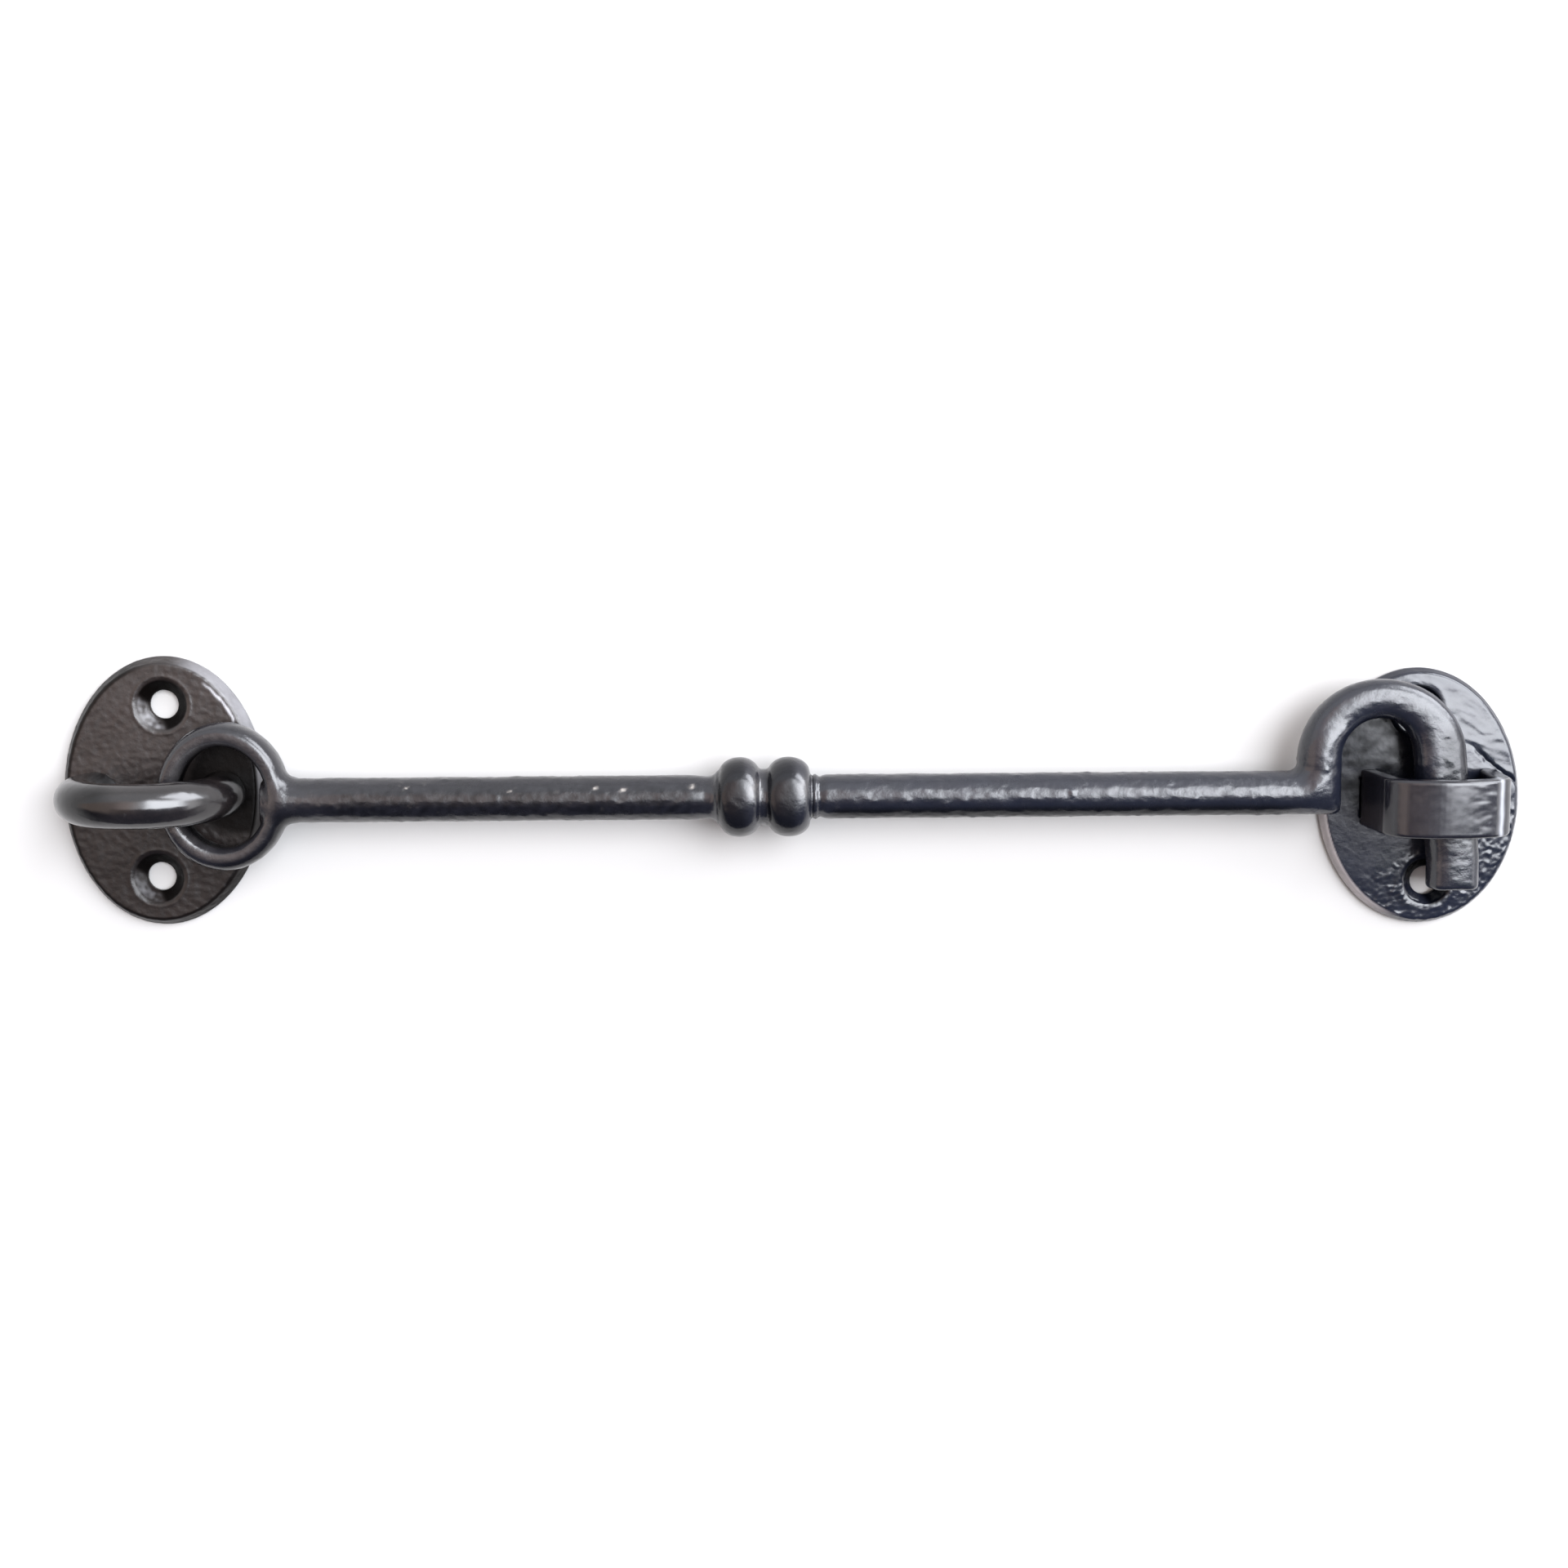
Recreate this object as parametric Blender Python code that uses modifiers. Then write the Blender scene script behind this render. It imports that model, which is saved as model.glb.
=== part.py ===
"""Casement window stay (cabin hook) in black-painted malleable iron and steel.

Lies on the backs of its two plates: +X runs along the arm from the hinge plate
to the receiver plate, +Z stands out of the plates, +Y is up along the plates.
The origin lies on the hinge plate's back face, midway between its staple's feet.

    hinge_backplate     cast oval plate, two countersunk screw holes
    hinge_staple        round bar bent to a U, its two ends riveted through the plate
    stay_arm            eye, bar, turned double bead and hook, one forging
    receiver_backplate  cast oval plate, two countersunk screw holes
    receiver_strap      flat bar bent to a keeper, its two ends riveted through the plate

Sizes are in mm and angles in degrees; the built meshes are in metres.
"""

import math

import bmesh
import bpy
from mathutils import Matrix, Vector

MM = 0.001
WELD = 0.00001              # metres: vertices closer than this become one

# ---------------------------------------------------------------- facets
BAR_FACETS = 20             # round a bar
RING_FACETS = 56            # round a plate or the eye
SCREW_HOLE_FACETS = 28
TENON_HOLE_FACETS = 24
TENON_FACETS = 20
SHARP_ANGLE = 35            # edges that turn more than this are shaded sharp

# ---------------------------------------------------------------- plates
PLATE_THICK = 3.0
PLATE_LAND = 0.7            # upright rim at the back edge
PLATE_DRAFT = 0.95          # how far the front edge sits in from the back edge
PLATE_EDGE = 0.35           # size of the rounded front edge
PLATE_EDGE_MID = 0.1        # its middle point lies this far in and down
HINGE_PLATE_AT = (0.45, 0.0)  # middle of the oval
HINGE_PLATE_HALF = (17.2, 23.2)
HINGE_PLATE_TURN = -3.3     # the plate stands askew to its staple
HINGE_SCREWS_AT = (0.2, 0.1)  # midway between the screw holes
RECEIVER_PLATE_AT = (215.5, -2.5)  # a little off the keeper's middle
RECEIVER_PLATE_HALF = (17.2, 22.1)
RECEIVER_PLATE_TURN = 4.5
RECEIVER_SCREWS_AT = (215.8, -2.3)
SCREW_Y = 14.9              # screw holes above and below their midpoint
SCREW_R = 2.45
SCREW_HEAD_R = 4.5          # countersink for a No. 8 screw head
CUT_OVER = 1.0              # round cutters run this far past each face
SLOT_CUT_HEIGHT = 8.0

# ---------------------------------------------------------------- fits
RECESS = 0.12               # riveted ends lie this far inside the back face
FIT_GAP = 0.25              # play around each tenon
SEAT_GAP = 0.08             # shoulder above the plate's face
FOOT_Z = PLATE_THICK + SEAT_GAP

# ---------------------------------------------------------------- hinge staple
STAPLE_BAR_R = 3.7
STAPLE_LEG_X = 10.9         # legs meet the plate at plus and minus this
STAPLE_BEND_R = 11.85       # the loop bows out a little wider than its feet
STAPLE_OVERRUN = 12         # degrees the loop runs on before it is cut level
STAPLE_STEPS = 32
LEVEL_CUT = (50, 20, 20)    # block that cuts the feet level
TENON_R = 2.5
TENON_ROOT = 2.0            # tenon's length buried in the leg
RIVET_R = 3.5
RIVET_DEPTH = 1.0
RIVET_CHAMFER = (0.3, 0.15)  # inwards, upwards

# ---------------------------------------------------------------- arm and eye
ARM_Z = 7.8                 # arm's centre line above the plates' backs
PIVOT_X = 12.4              # the eye turns round the staple's leg, here at the arm's height
PIVOT_AT = (PIVOT_X, 0, ARM_Z)
BAR_DROP = 0.8              # the bar's line runs this far below the eye's middle
BAR_R = 3.75
EYE_OUT_R = 12.55
EYE_IN_R = 8.55
EYE_SQUASH = 0.88           # the eye is a little narrower along the bar
EYE_THICK = 6.8
EYE_EDGE_R = 2.0            # rounding of the outer edges
EYE_CHAMFER = 0.5           # on both edges of the bore

# ---------------------------------------------------------------- double bead
BEAD_MID = 103.3            # groove between the two beads
BEAD_SPACE = 4.12           # bead centres each side of the groove
BEAD_HALF = 3.42            # half a bead's length
BEAD_R = 6.68
BEAD_ROOT_R = 3.9
BEAD_STEPS = 11
GROOVE_R = 4.88
BEAD_NECK_R = 3.3
BEAD_NEAR_END_R = 4.65      # least radius at the hinge end of the double bead
BEAD_FAR_END_R = 3.6        # and at its hook end

# (x from the named start, radius)
NECK_X = 20.4               # the bar starts here, inside the eye
NECK_PROFILE = ((0.0, 2.8), (1.2, 3.5), (2.6, 4.15), (3.8, 4.0), (5.2, BAR_R))
# from the double bead's hinge end
BEAD_LEAD_IN = (
    (-3.6, BAR_R),
    (-3.1, BEAD_NECK_R + 0.15),
    (-2.5, BEAD_NECK_R + 0.1),
    (-1.7, BAR_R - 0.05),
)
# from the double bead's hook end
BEAD_LEAD_OUT = (
    (0.3, BEAD_NECK_R + 0.1),
    (1.3, BEAD_NECK_R),
    (2.2, BAR_R - 0.25),
    (3.0, BAR_R),
)

# ---------------------------------------------------------------- hook
HOOK_LEG_X = 196.7          # first leg, and the near side of the bend
HOOK_DROP_X = 216.9         # far side of the bend
HOOK_LEAN = 6.0             # the second leg leans out this much where the bend ends
# (x, y) down the second leg
HOOK_LEG_LINE = ((217.3, 1.8), (218.35, -4.0), (219.25, -8.6), (219.6, -12.0))
HOOK_TIP_X = 219.65         # and it straightens out towards the tip
HOOK_LEG_R = 3.7
HOOK_CROWN_R = 3.3
HOOK_TIP_R = 4.3
HOOK_BEND_Y = 4.9           # centre of the hook's bend
HOOK_BEND_STEPS = 24
HOOK_TIP_Y = -17.3          # lowest point of the tip
TIP_CHAMFER = 0.5
MITRE_REACH = 1.2 * HOOK_LEG_R  # the mitre's vertices lie this close to the corner
MITRE_SLACK = 0.05          # and this close to its plane

# ---------------------------------------------------------------- keeper
KEEP_X = 216.65             # middle of the keeper
KEEP_Y = -2.45
KEEP_HALF = 10.2            # keeper's feet, centre line, from KEEP_X
KEEP_LEAN = 6.0             # its legs lean in this much as they rise
KEEP_THICK = 2.7
KEEP_HALF_Y = 4.8
KEEP_LEG = 10.0             # straight leg above the plate
KEEP_BEND_R = 4.0
KEEP_BEND_TURN = 66         # turn in each corner, the rest is in the bowed crown
KEEP_BEND_STEPS = 6
KEEP_CROWN_STEPS = 3        # in each half of the crown
KEEP_TENON = (2.2, 6.4)     # tenon through the plate: along X, along Y
KEEP_TENON_TOP = PLATE_THICK + 1.0
KEEP_EDGE = 0.4             # rounding of its edges


# ---------------------------------------------------------------- scene set-up
for old in list(bpy.data.objects):
    bpy.data.objects.remove(old, do_unlink=True)

parts = bpy.data.collections.new("casement_window_stay")
cutters = bpy.data.collections.new("cutters")
for collection in (parts, cutters):
    bpy.context.scene.collection.children.link(collection)


def paint(name, colour, roughness):
    mat = bpy.data.materials.new(name)
    mat.use_nodes = True
    bsdf = mat.node_tree.nodes["Principled BSDF"]
    bsdf.inputs["Base Color"].default_value = (*colour, 1.0)
    bsdf.inputs["Roughness"].default_value = roughness
    mat.diffuse_color = (*colour, 1.0)
    return mat


# ---------------------------------------------------------------- building blocks
def add(name, data, group=cutters):
    obj = bpy.data.objects.new(name, data)
    group.objects.link(obj)
    if group is cutters:
        obj.hide_render = True
        obj.display_type = "WIRE"
    return obj


def add_bmesh(name, bm):
    """A working object from a bmesh, which is freed."""
    mesh = bpy.data.meshes.new(name)
    bm.to_mesh(mesh)
    bm.free()
    return add(name, mesh)


def baked(obj, group=cutters):
    """The evaluated object as a plain welded mesh in world space; the old object goes."""
    bpy.context.view_layer.update()
    graph = bpy.context.evaluated_depsgraph_get()
    mesh = bpy.data.meshes.new_from_object(obj.evaluated_get(graph))
    mesh.transform(obj.matrix_world)
    bm = bmesh.new()
    bm.from_mesh(mesh)
    bmesh.ops.remove_doubles(bm, verts=bm.verts, dist=WELD)
    bmesh.ops.recalc_face_normals(bm, faces=bm.faces)
    bm.to_mesh(mesh)
    bm.free()
    name = obj.name
    bpy.data.objects.remove(obj, do_unlink=True)
    return add(name, mesh, group)


def turned(name, profile, steps, at=(0, 0, 0), scale=(1, 1, 1), closed=False):
    """A profile of (radius, height) points turned about Z, then scaled and moved."""
    bm = bmesh.new()
    verts = [bm.verts.new((radius * MM, 0.0, z * MM)) for radius, z in profile]
    for start, end in zip(verts, verts[1:]):
        bm.edges.new((start, end))
    if closed:
        bm.edges.new((verts[-1], verts[0]))
    obj = add_bmesh(name, bm)
    screw = obj.modifiers.new("turn", "SCREW")
    screw.axis = "Z"
    screw.angle = math.tau
    screw.steps = steps
    screw.render_steps = steps
    screw.use_merge_vertices = True
    screw.merge_threshold = WELD
    obj.scale = scale
    obj.location = Vector(at) * MM
    return baked(obj)


def bent_bar(name, points, radii):
    """A round bar along a path of points, with its own radius at each point."""
    curve = bpy.data.curves.new(name, "CURVE")
    curve.dimensions = "3D"
    curve.bevel_depth = MM
    curve.bevel_resolution = BAR_FACETS // 2 - 2
    curve.use_fill_caps = True
    path = curve.splines.new("POLY")
    path.points.add(len(points) - 1)
    for slot, point, radius in zip(path.points, points, radii):
        slot.co = (*(Vector(point) * MM), 1.0)
        slot.radius = radius
    return baked(add(name, curve))


def box(name, size, centre):
    bm = bmesh.new()
    bmesh.ops.create_cube(bm, size=1.0)
    bmesh.ops.scale(bm, vec=Vector(size) * MM, verts=bm.verts)
    bmesh.ops.translate(bm, vec=Vector(centre) * MM, verts=bm.verts)
    return add_bmesh(name, bm)


def combined(base, others, operation="UNION", group=cutters):
    """The base with each of the others joined to it or cut from it, in turn."""
    for other in others:
        boolean = base.modifiers.new(other.name, "BOOLEAN")
        boolean.operation = operation
        boolean.object = other
        boolean.solver = "EXACT"
    return baked(base, group)


def finish(obj, name, mat, origin):
    """Moves the object's origin to a point without moving its shape, and gives it its look."""
    at = Vector(origin) * MM
    obj.data.transform(Matrix.Translation(-at))
    obj.location = at
    obj.name = obj.data.name = name
    obj.data.materials.clear()
    obj.data.materials.append(mat)
    for face in obj.data.polygons:
        face.use_smooth = True
    obj.data.set_sharp_from_angle(angle=math.radians(SHARP_ANGLE))
    return obj


def arc(centre, radius, start, end, count):
    """Points in the plane along an arc, angles in degrees."""
    points = []
    for i in range(count + 1):
        angle = math.radians(start + (end - start) * i / count)
        points.append(
            (centre[0] + radius * math.cos(angle), centre[1] + radius * math.sin(angle))
        )
    return points


# ---------------------------------------------------------------- plates
def plate_blank(name, half, centre, askew):
    """An oval plate: flat back, short upright rim, drafted side and a rounded front edge."""
    half_x, half_y = half
    front = half_x - PLATE_DRAFT
    profile = [
        (0.0, PLATE_THICK),
        (front - PLATE_EDGE, PLATE_THICK),
        (front - PLATE_EDGE_MID, PLATE_THICK - PLATE_EDGE_MID),
        (front, PLATE_THICK - PLATE_EDGE),
        (half_x, PLATE_LAND),
        (half_x, 0.0),
        (0.0, 0.0),
    ]
    blank = turned(name, profile, RING_FACETS)
    # the round blank grows to an oval along Y with the same draft all the way round
    for vert in blank.data.vertices:
        out = math.hypot(vert.co.x, vert.co.y)
        if out > MM:
            vert.co.y *= (out + (half_y - half_x) * MM) / out
    blank.rotation_euler = (0.0, 0.0, math.radians(askew))
    blank.location = (centre[0] * MM, centre[1] * MM, 0.0)
    return baked(blank)


def screw_hole(name, middle, askew, side):
    """A through hole with a 90 degree countersink at the front, above or below the middle."""
    angle = math.radians(askew)
    x = middle[0] - side * SCREW_Y * math.sin(angle)
    y = middle[1] + side * SCREW_Y * math.cos(angle)
    profile = [
        (0.0, PLATE_THICK + CUT_OVER),
        (SCREW_HEAD_R, PLATE_THICK + CUT_OVER),
        (SCREW_HEAD_R, PLATE_THICK),
        (SCREW_R, PLATE_THICK - (SCREW_HEAD_R - SCREW_R)),
        (SCREW_R, -CUT_OVER),
        (0.0, -CUT_OVER),
    ]
    return turned(name, profile, SCREW_HOLE_FACETS, at=(x, y, 0))


def tenon_hole(name, x):
    """A hole for a riveted tenon, opened out at the back."""
    hole_r = TENON_R + FIT_GAP
    head_r = RIVET_R + FIT_GAP
    profile = [
        (0.0, PLATE_THICK + CUT_OVER),
        (hole_r, PLATE_THICK + CUT_OVER),
        (hole_r, RIVET_DEPTH + FIT_GAP),
        (head_r, FIT_GAP),
        (head_r, -CUT_OVER),
        (0.0, -CUT_OVER),
    ]
    return turned(name, profile, TENON_HOLE_FACETS, at=(x, 0, 0))


def keeper_slot(name, side):
    tenon_x, tenon_y = KEEP_TENON
    return box(
        name,
        (tenon_x + 2 * FIT_GAP, tenon_y + 2 * FIT_GAP, SLOT_CUT_HEIGHT),
        (KEEP_X + side * KEEP_HALF, KEEP_Y, PLATE_THICK / 2),
    )


def drilled_plate(blank, screws_at, askew, openings):
    """The blank with its upper and lower screw holes and its other openings."""
    screws = [screw_hole(f"screw_{side}", screws_at, askew, side) for side in (1, -1)]
    return combined(blank, screws + openings, "DIFFERENCE", parts)


def make_hinge_plate(mat):
    blank = plate_blank("hinge_blank", HINGE_PLATE_HALF, HINGE_PLATE_AT, HINGE_PLATE_TURN)
    holes = [tenon_hole(f"tenon_hole_{side}", side * STAPLE_LEG_X) for side in (1, -1)]
    plate = drilled_plate(blank, HINGE_SCREWS_AT, HINGE_PLATE_TURN, holes)
    return finish(plate, "hinge_backplate", mat, (0, 0, 0))


def make_receiver_plate(mat):
    blank = plate_blank(
        "receiver_blank", RECEIVER_PLATE_HALF, RECEIVER_PLATE_AT, RECEIVER_PLATE_TURN
    )
    slots = [keeper_slot(f"keeper_slot_{side}", side) for side in (-1, 1)]
    plate = drilled_plate(blank, RECEIVER_SCREWS_AT, RECEIVER_PLATE_TURN, slots)
    return finish(plate, "receiver_backplate", mat, (*RECEIVER_PLATE_AT, 0))


# ---------------------------------------------------------------- hinge staple
def staple_tenon(name, x):
    """A round tenon from inside the leg down to its spread, chamfered rivet head."""
    chamfer_in, chamfer_up = RIVET_CHAMFER
    profile = [
        (0.0, FOOT_Z + TENON_ROOT),
        (TENON_R, FOOT_Z + TENON_ROOT),
        (TENON_R, RECESS + RIVET_DEPTH),
        (RIVET_R, RECESS + chamfer_up),
        (RIVET_R - chamfer_in, RECESS),
        (0.0, RECESS),
    ]
    return turned(name, profile, TENON_FACETS, at=(x, 0, 0))


def make_staple(mat):
    rise = math.sqrt(STAPLE_BEND_R**2 - STAPLE_LEG_X**2)
    # the loop's two ends run on below the plate's face, and are cut off level at the feet
    overrun = math.degrees(math.asin(rise / STAPLE_BEND_R)) + STAPLE_OVERRUN
    loop_line = arc((0.0, FOOT_Z + rise), STAPLE_BEND_R, -overrun, 180 + overrun, STAPLE_STEPS)
    staple = bent_bar(
        "staple_bar",
        [(x, 0.0, z) for x, z in loop_line],
        [STAPLE_BAR_R] * len(loop_line),
    )
    level = box("staple_level", LEVEL_CUT, (0, 0, FOOT_Z - LEVEL_CUT[2] / 2))
    staple = combined(staple, [level], "DIFFERENCE")
    tenons = [staple_tenon(f"staple_tenon_{side}", side * STAPLE_LEG_X) for side in (1, -1)]
    staple = combined(staple, tenons, group=parts)
    return finish(staple, "hinge_staple", mat, (0, 0, 0))


# ---------------------------------------------------------------- stay arm
def bead(centre, near_floor, far_floor):
    """Half an ellipse of (x, radius), cut off where it meets the metal on each side."""
    points = []
    for i in range(BEAD_STEPS + 1):
        across = -1.0 + 2.0 * i / BEAD_STEPS
        rise = math.sqrt(max(0.0, 1.0 - across * across))
        radius = BEAD_ROOT_R + (BEAD_R - BEAD_ROOT_R) * rise
        floor = near_floor if across < 0 else far_floor
        points.append((centre + BEAD_HALF * across, max(radius, floor)))
    return points


def bar_outline():
    """(x, radius) along the straight bar, from the neck to just past the double bead."""
    near = BEAD_MID - BEAD_SPACE
    far = BEAD_MID + BEAD_SPACE
    return [
        *((NECK_X + x, radius) for x, radius in NECK_PROFILE),
        *((near - BEAD_HALF + x, radius) for x, radius in BEAD_LEAD_IN),
        *bead(near, BEAD_NEAR_END_R, GROOVE_R),
        *bead(far, GROOVE_R, BEAD_FAR_END_R),
        *((far + BEAD_HALF + x, radius) for x, radius in BEAD_LEAD_OUT),
    ]


def hook_stations():
    """(x, y, radius) round the hook's bend and down its leaning leg to the tip."""
    bend_r = (HOOK_DROP_X - HOOK_LEG_X) / 2
    bend_at = ((HOOK_DROP_X + HOOK_LEG_X) / 2, HOOK_BEND_Y)
    stations = []
    for i, (x, y) in enumerate(arc(bend_at, bend_r, 180.0, HOOK_LEAN, HOOK_BEND_STEPS)):
        along = i / HOOK_BEND_STEPS
        end_r = HOOK_LEG_R if along < 0.5 else HOOK_TIP_R
        stations.append((x, y, end_r + (HOOK_CROWN_R - end_r) * math.sin(math.pi * along)))
    stations += [(x, y, HOOK_TIP_R) for x, y in HOOK_LEG_LINE]
    stations += [
        (HOOK_TIP_X, HOOK_TIP_Y + TIP_CHAMFER, HOOK_TIP_R),
        (HOOK_TIP_X, HOOK_TIP_Y, HOOK_TIP_R - TIP_CHAMFER),
    ]
    return stations


def open_mitre(bar, corner):
    """Opens the section at the bar's sharp corner out into a true mitre."""
    across = Vector((1.0, -1.0, 0.0)).normalized()
    along = Vector((1.0, 1.0, 0.0)).normalized()
    for vert in bar.data.vertices:
        offset = vert.co - corner * MM
        if offset.length < MITRE_REACH * MM and abs(offset.dot(along)) < MITRE_SLACK * MM:
            vert.co += across * offset.dot(across) * (math.sqrt(2.0) - 1.0)


def arm_eye():
    half = EYE_THICK / 2
    section = [(EYE_IN_R + EYE_CHAMFER, half)]
    for degrees in (0, 30, 60, 90):
        angle = math.radians(degrees)
        section.append((
            EYE_OUT_R - EYE_EDGE_R + EYE_EDGE_R * math.sin(angle),
            half - EYE_EDGE_R + EYE_EDGE_R * math.cos(angle),
        ))
    section += [(radius, -z) for radius, z in reversed(section)]
    section += [(EYE_IN_R, -half + EYE_CHAMFER), (EYE_IN_R, half - EYE_CHAMFER)]
    return turned(
        "arm_eye", section, RING_FACETS, at=PIVOT_AT, scale=(EYE_SQUASH, 1, 1), closed=True
    )


def make_arm(mat):
    # one sweep: the bar with its beads, a sharp corner, the hook's bend and its leaning leg
    stations = [(x, -BAR_DROP, radius) for x, radius in bar_outline()]
    stations.append((HOOK_LEG_X, -BAR_DROP, HOOK_LEG_R))
    stations += hook_stations()
    bar = bent_bar(
        "arm_bar",
        [(x, y, ARM_Z) for x, y, _ in stations],
        [radius for _, _, radius in stations],
    )
    open_mitre(bar, Vector((HOOK_LEG_X, -BAR_DROP, ARM_Z)))
    arm = combined(bar, [arm_eye()], group=parts)
    return finish(arm, "stay_arm", mat, PIVOT_AT)


# ---------------------------------------------------------------- receiver strap
def keeper_half_line():
    """(x, z, heading) up the keeper's centre line, from one foot to the crown's middle."""
    x, z, heading = -KEEP_HALF, FOOT_Z, 90.0 - KEEP_LEAN
    line = [(x, z, heading)]
    x += KEEP_LEG * math.cos(math.radians(heading))
    z += KEEP_LEG * math.sin(math.radians(heading))
    line.append((x, z, heading))
    step = KEEP_BEND_TURN / KEEP_BEND_STEPS
    run = KEEP_BEND_R * math.radians(step)
    for _ in range(KEEP_BEND_STEPS):
        heading -= step / 2
        x += run * math.cos(math.radians(heading))
        z += run * math.sin(math.radians(heading))
        heading -= step / 2
        line.append((x, z, heading))
    # the crown is a shallow arc that reaches the middle with its heading level
    rest = math.radians(heading)
    radius = -x / math.sin(rest)
    for i in range(1, KEEP_CROWN_STEPS + 1):
        angle = rest * (1 - i / KEEP_CROWN_STEPS)
        crown_z = z + radius * (math.cos(angle) - math.cos(rest))
        line.append((-radius * math.sin(angle), crown_z, math.degrees(angle)))
    return line


def keeper_outline():
    """(x, z) round the bent band: along its outer face and back along its inner face."""
    half_line = keeper_half_line()
    line = half_line + [(-x, z, -heading) for x, z, heading in reversed(half_line[:-1])]
    faces = []
    for offset in (KEEP_THICK / 2, -KEEP_THICK / 2):
        face = []
        for x, z, heading in line:
            angle = math.radians(heading)
            face.append((x - math.sin(angle) * offset, z + math.cos(angle) * offset))
        # both feet stand level on the plate
        for end in (0, -1):
            face[end] = (face[end][0], FOOT_Z)
        faces.append(face)
    outer, inner = faces
    return outer + inner[::-1]


def keeper_band():
    """The outline filled and extruded along Y."""
    outline = keeper_outline()
    curve = bpy.data.curves.new("keeper_band", "CURVE")
    curve.dimensions = "2D"
    curve.fill_mode = "BOTH"
    curve.extrude = KEEP_HALF_Y * MM
    loop = curve.splines.new("POLY")
    loop.use_cyclic_u = True
    loop.points.add(len(outline) - 1)
    for slot, (x, z) in zip(loop.points, outline):
        slot.co = (x * MM, z * MM, 0.0, 1.0)
    band = add("keeper_band", curve)
    band.rotation_euler = (math.radians(90), 0.0, 0.0)
    band.location = (KEEP_X * MM, KEEP_Y * MM, 0.0)
    return baked(band)


def make_strap(mat):
    tenons = [
        box(
            f"keeper_tenon_{side}",
            (*KEEP_TENON, KEEP_TENON_TOP - RECESS),
            (KEEP_X + side * KEEP_HALF, KEEP_Y, (KEEP_TENON_TOP + RECESS) / 2),
        )
        for side in (-1, 1)
    ]
    keeper = combined(keeper_band(), tenons)
    soft = keeper.modifiers.new("soft_edges", "BEVEL")
    soft.width = KEEP_EDGE * MM
    soft.segments = 2
    soft.limit_method = "ANGLE"
    soft.angle_limit = math.radians(60)
    return finish(baked(keeper, parts), "receiver_strap", mat, (KEEP_X, KEEP_Y, 0))


# ---------------------------------------------------------------- what moves with what
def hold(name, at, members):
    """Parents the members to an empty without moving them."""
    holder = bpy.data.objects.new(name, None)
    holder.location = Vector(at) * MM
    holder.empty_display_size = 0.01
    parts.objects.link(holder)
    bpy.context.view_layer.update()
    for member in members:
        member.parent = holder
        member.matrix_parent_inverse = holder.matrix_world.inverted()


hinge_paint = paint("brown_black_paint", colour=(0.030, 0.025, 0.023), roughness=0.38)
black_paint = paint("black_gloss_paint", colour=(0.018, 0.018, 0.022), roughness=0.30)

hinge_plate = make_hinge_plate(hinge_paint)
receiver_plate = make_receiver_plate(black_paint)
staple = make_staple(black_paint)
arm = make_arm(black_paint)
strap = make_strap(black_paint)

hold("hinge_fixing", (0, 0, 0), (hinge_plate, staple))
hold("arm_pivot", PIVOT_AT, (arm,))
hold("receiver", (*RECEIVER_PLATE_AT, 0), (receiver_plate, strap))

for cutter in list(cutters.objects):
    bpy.data.objects.remove(cutter, do_unlink=True)
bpy.context.view_layer.update()
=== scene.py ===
"""Looks of a black-painted casement window stay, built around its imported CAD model.

The stay lies along +x on the plane z = 0. The hinge plate and its staple are at the origin; the arm
runs from its eye in the staple to a hook, whose tip passes under the strap of the receiver plate.
Each piece is skinned from a smooth field: roughly the distance to its surface, negative inside.
Fields are in millimetres, meshes in metres.
"""

import math
from itertools import product

import bpy
import numpy as np
from mathutils import Matrix, Vector


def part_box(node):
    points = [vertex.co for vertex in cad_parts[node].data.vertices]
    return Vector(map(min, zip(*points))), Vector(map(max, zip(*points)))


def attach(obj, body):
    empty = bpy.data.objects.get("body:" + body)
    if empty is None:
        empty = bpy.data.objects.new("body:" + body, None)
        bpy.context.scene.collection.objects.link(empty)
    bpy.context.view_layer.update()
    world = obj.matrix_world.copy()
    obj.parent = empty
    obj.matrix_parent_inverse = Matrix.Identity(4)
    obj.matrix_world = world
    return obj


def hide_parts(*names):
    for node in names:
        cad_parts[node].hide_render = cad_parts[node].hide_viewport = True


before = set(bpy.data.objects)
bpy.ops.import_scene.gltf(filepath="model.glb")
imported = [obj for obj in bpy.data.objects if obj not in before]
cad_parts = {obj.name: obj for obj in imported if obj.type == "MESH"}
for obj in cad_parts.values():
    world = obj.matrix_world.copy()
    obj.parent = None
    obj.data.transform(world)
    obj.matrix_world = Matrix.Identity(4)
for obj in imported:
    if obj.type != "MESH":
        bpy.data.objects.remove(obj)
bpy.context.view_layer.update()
MM = 0.001

# ---------------------------------------------------------------- sizes, mm
# oval plates: centre, half sizes, turn in degrees, fall of the top to the rim, middle of the screws
HINGE_PLATE = dict(at=(0.45, 0.0), half=(17.2, 23.2), turn=-3.3, dome=0.12, screws_at=(0.2, 0.1))
RECEIVER_PLATE = dict(
    at=(215.5, -2.5), half=(17.2, 22.1), turn=4.5, dome=0.85, screws_at=(215.8, -2.3)
)
PLATE_THICK = 3.0
BEVEL_Z, BEVEL_SLOPE, BEVEL_SCALE = 0.7, 0.487, 1.112  # start, lean, gradient of the leaning wall
SCREW_Y, SCREW_R, SINK_Z = 14.9, 2.45, 0.95  # countersinks widen above SINK_Z
FOOT_Z = 3.08
SEAT_Z = 2.93  # paint fills the seam, so the shown feet meet the plate
PIN_BASE_Z = 0.12

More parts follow.
